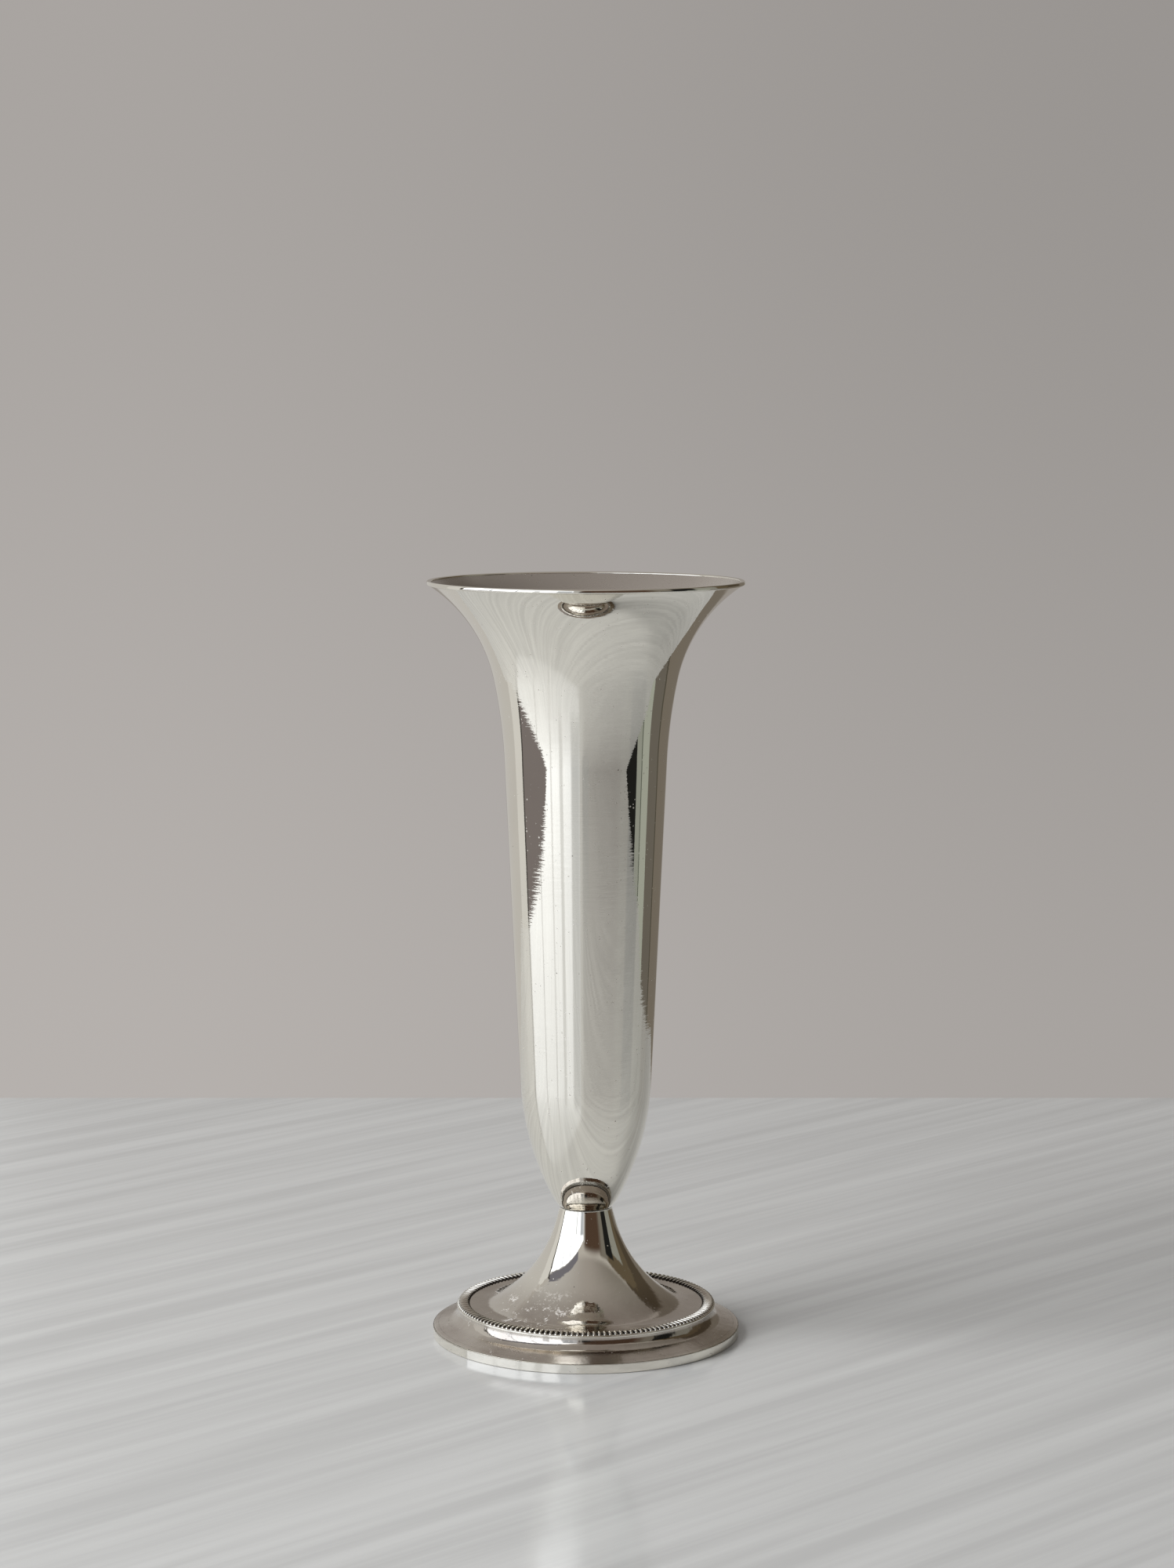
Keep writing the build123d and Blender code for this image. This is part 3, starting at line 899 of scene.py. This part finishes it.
def studio_world(settings):
    """A plain wall for the camera, a studio of flat boards for the metal, and an even fill light."""
    world = bpy.data.worlds.new("Studio")
    world.use_nodes = True
    world.node_tree.nodes.clear()
    sheet = NodeSheet(world.node_tree)
    toward = sheet.node("ShaderNodeTexCoord").outputs["Generated"]
    x, _, z = sheet.split(toward)

    # Plain wall for the camera, with painted shade that makes it a little darker up and to the right
    to_right, upwards = sheet.span(x, -0.16, 0.18, 0.0, 0.42), sheet.span(z, -0.22, 0.08, 0.0, 0.38)
    dim = sheet.math("ADD", to_right, upwards)
    painted_wall_shade = opaque([0.6 * shade for shade in settings.wall_shade])
    wall = sheet.blend(dim, opaque(settings.wall_shade), painted_wall_shade)

    # Card overhead, lighter on the light's side
    across = sheet.span(x, -0.8, 0.1)
    overhead = sheet.blend(across, (0.47, 0.455, 0.44, 1.0), (0.33, 0.302, 0.28, 1.0))
    overhead = sheet.blend(sheet.span(x, 0.0, 0.85), overhead, (0.185, 0.168, 0.146, 1.0))
    studio = sheet.blend(sheet.span(z, 0.60, 0.72), (0.46, 0.435, 0.405, 1.0), overhead)

    # Boards, each laid over the ones before it
    for name, facing, left, right, low, high, softness, shade in BOARDS:
        bearing = radians(facing)
        forward = sheet.node("ShaderNodeVectorMath", {0: toward}, operation="DOT_PRODUCT")
        forward.inputs[1].default_value = (sin(bearing), -cos(bearing), 0.0)
        sideways = sheet.node("ShaderNodeVectorMath", {0: toward}, operation="DOT_PRODUCT")
        sideways.inputs[1].default_value = (cos(bearing), sin(bearing), 0.0)
        distance = sheet.math("MAXIMUM", forward.outputs["Value"], GRAZING)
        along = sheet.math("DIVIDE", sideways.outputs["Value"], distance)
        up = sheet.math("DIVIDE", z, distance)
        mask = sheet.math(
            "MULTIPLY",
            sheet.between(along, tan(radians(left - facing)), tan(radians(right - facing)), softness),
            sheet.between(up, low, high, softness),
        )
        in_front = sheet.math("GREATER_THAN", forward.outputs["Value"], GRAZING)
        mask = sheet.math("MULTIPLY", mask, in_front)
        studio = sheet.blend(mask, studio, opaque(shade))
        studio.node.label = name
    path = sheet.node("ShaderNodeLightPath").outputs
    seen = sheet.blend(path["Is Camera Ray"], studio, wall)
    lit = sheet.blend(path["Is Diffuse Ray"], seen, opaque(settings.fill_shade))
    background = sheet.node("ShaderNodeBackground", {"Color": lit})
    sheet.node("ShaderNodeOutputWorld", {"Surface": background.outputs[0]})
    return world


def add_camera(settings):
    """The camera at the photograph's viewing angle."""
    camera = bpy.data.objects.new("Camera", bpy.data.cameras.new("Camera"))
    camera.data.lens = settings.lens
    camera.data.sensor_width = 36
    camera.data.clip_start, camera.data.clip_end = 0.01, 20
    camera.location = (settings.camera_side, -settings.camera_distance, settings.camera_height)
    camera.rotation_euler = (pi / 2 - settings.camera_dip, 0, 0)
    bpy.context.scene.collection.objects.link(camera)
    bpy.context.scene.camera = camera


def add_lamp(settings):
    """One large soft lamp from the front left, which the metal and the camera don't see."""
    lamp = bpy.data.objects.new("Soft_lamp", bpy.data.lights.new("Soft lamp", "AREA"))
    lamp.data.shape = "RECTANGLE"
    lamp.data.size, lamp.data.size_y = LAMP_SIZE
    lamp.data.spread = LAMP_SPREAD
    lamp.data.energy = settings.lamp_power
    lamp.location = LAMP_PLACE
    lamp.rotation_euler = (LAMP_AIM - LAMP_PLACE).to_track_quat("-Z", "Y").to_euler()
    lamp.visible_camera = False
    lamp.visible_glossy = False
    bpy.context.scene.collection.objects.link(lamp)


# Operators


def stand_for(piece, node):
    """Let a piece ride on the part in place of a CAD node."""
    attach(piece, "root")
    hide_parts(node)


class VASE_OT_build_body(bpy.types.Operator):
    """Spin the body from its outline and put the wire round its lip"""

    bl_idname = "trumpet_vase.build_body"
    bl_label = "Body and lip"

    def execute(self, context):
        vase = context.scene.trumpet_vase
        body = spin_piece("body", body_outline(vase.body), BODY_STEPS, silver_plate(vase))
        stand_for(body, "vase_body")
        lip = spin_piece("lip", lip_outline(vase.body), RING_STEPS, silver_plate(vase))
        stand_for(lip, "lip_wire")
        return {"FINISHED"}


class VASE_OT_build_foot(bpy.types.Operator):
    """Spin the hollow foot and the band that it stands on"""

    bl_idname = "trumpet_vase.build_foot"
    bl_label = "Foot and band"

    def execute(self, context):
        vase = context.scene.trumpet_vase
        foot = spin_piece("foot", foot_outline(vase.foot), RING_STEPS, silver_plate(vase))
        stand_for(foot, "foot_shell")
        band = spin_piece("band", band_outline(vase.foot), RING_STEPS, silver_plate(vase))
        stand_for(band, "foot_band")
        return {"FINISHED"}


class VASE_OT_build_border(bpy.types.Operator):
    """Spin the border's strip and set its lobes round it"""

    bl_idname = "trumpet_vase.build_border"
    bl_label = "Border of lobes"

    def execute(self, context):
        vase = context.scene.trumpet_vase
        strip = spin_piece("border_strip", border_outline(vase.foot), RING_STEPS, border_silver(vase))
        stand_for(strip, "border_wire")
        inputs = {"Count": vase.foot.lobe_count, "Finish": border_silver(vase)}
        lobes = shape_piece("border_lobes", lobe_ring_tree(), lobe_mesh(vase.foot), inputs)
        stand_for(lobes, "border_wire")
        return {"FINISHED"}


class VASE_OT_finish_fasteners(bpy.types.Operator):
    """Give the stud, washer and nut under the waist their brass"""

    bl_idname = "trumpet_vase.finish_fasteners"
    bl_label = "Fasteners"

    def execute(self, context):
        brass = brass_fastener(context.scene.trumpet_vase)
        for node in ("waist_stud", "waist_washer", "waist_nut"):
            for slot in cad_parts[node].material_slots:
                slot.material = brass
        return {"FINISHED"}


class VASE_OT_build_stage(bpy.types.Operator):
    """Set up the table, the light and the camera"""

    bl_idname = "trumpet_vase.build_stage"
    bl_label = "Table, light and camera"

    def execute(self, context):
        settings = context.scene.trumpet_vase.stage
        table = bpy.data.objects.new("table_top", table_mesh(settings))
        table.data.materials.append(table_finish(settings))
        context.scene.collection.objects.link(table)
        context.scene.world = studio_world(settings)
        add_lamp(settings)
        add_camera(settings)
        context.scene.view_settings.view_transform = "Standard"
        return {"FINISHED"}


class VaseProperties(bpy.types.PropertyGroup):
    """All of the vase's sizes and colours."""

    body: PointerProperty(type=BodySizes, name="Body", description="Sizes of the body and its lip")
    foot: PointerProperty(type=FootSizes, name="Foot", description="Sizes of the foot, band and border")
    colours: PointerProperty(type=FinishColours, name="Colours", description="Colours of the metal")
    stage: PointerProperty(type=StageSettings, name="Stage", description="Camera, table and light")


BUILD_STEPS = (
    VASE_OT_build_body,
    VASE_OT_build_foot,
    VASE_OT_build_border,
    VASE_OT_finish_fasteners,
    VASE_OT_build_stage,
)


class VASE_PT_sidebar(bpy.types.Panel):
    """Lists the steps that build the vase"""

    bl_idname = "VASE_PT_sidebar"
    bl_label = "Trumpet vase"
    bl_space_type = "VIEW_3D"
    bl_region_type = "UI"
    bl_category = "Vase"

    def draw(self, context):
        for step in BUILD_STEPS:
            self.layout.operator(step.bl_idname, text=step.bl_label)


CLASSES = (
    BodySizes,
    FootSizes,
    FinishColours,
    StageSettings,
    VaseProperties,
    *BUILD_STEPS,
    VASE_PT_sidebar,
)


def register():
    for cls in CLASSES:
        bpy.utils.register_class(cls)
    bpy.types.Scene.trumpet_vase = PointerProperty(type=VaseProperties)


def unregister():
    del bpy.types.Scene.trumpet_vase
    for cls in reversed(CLASSES):
        bpy.utils.unregister_class(cls)


def main():
    register()
    bpy.ops.trumpet_vase.build_body()
    bpy.ops.trumpet_vase.build_foot()
    bpy.ops.trumpet_vase.build_border()
    bpy.ops.trumpet_vase.finish_fasteners()
    bpy.ops.trumpet_vase.build_stage()


if __name__ == "__main__":
    main()
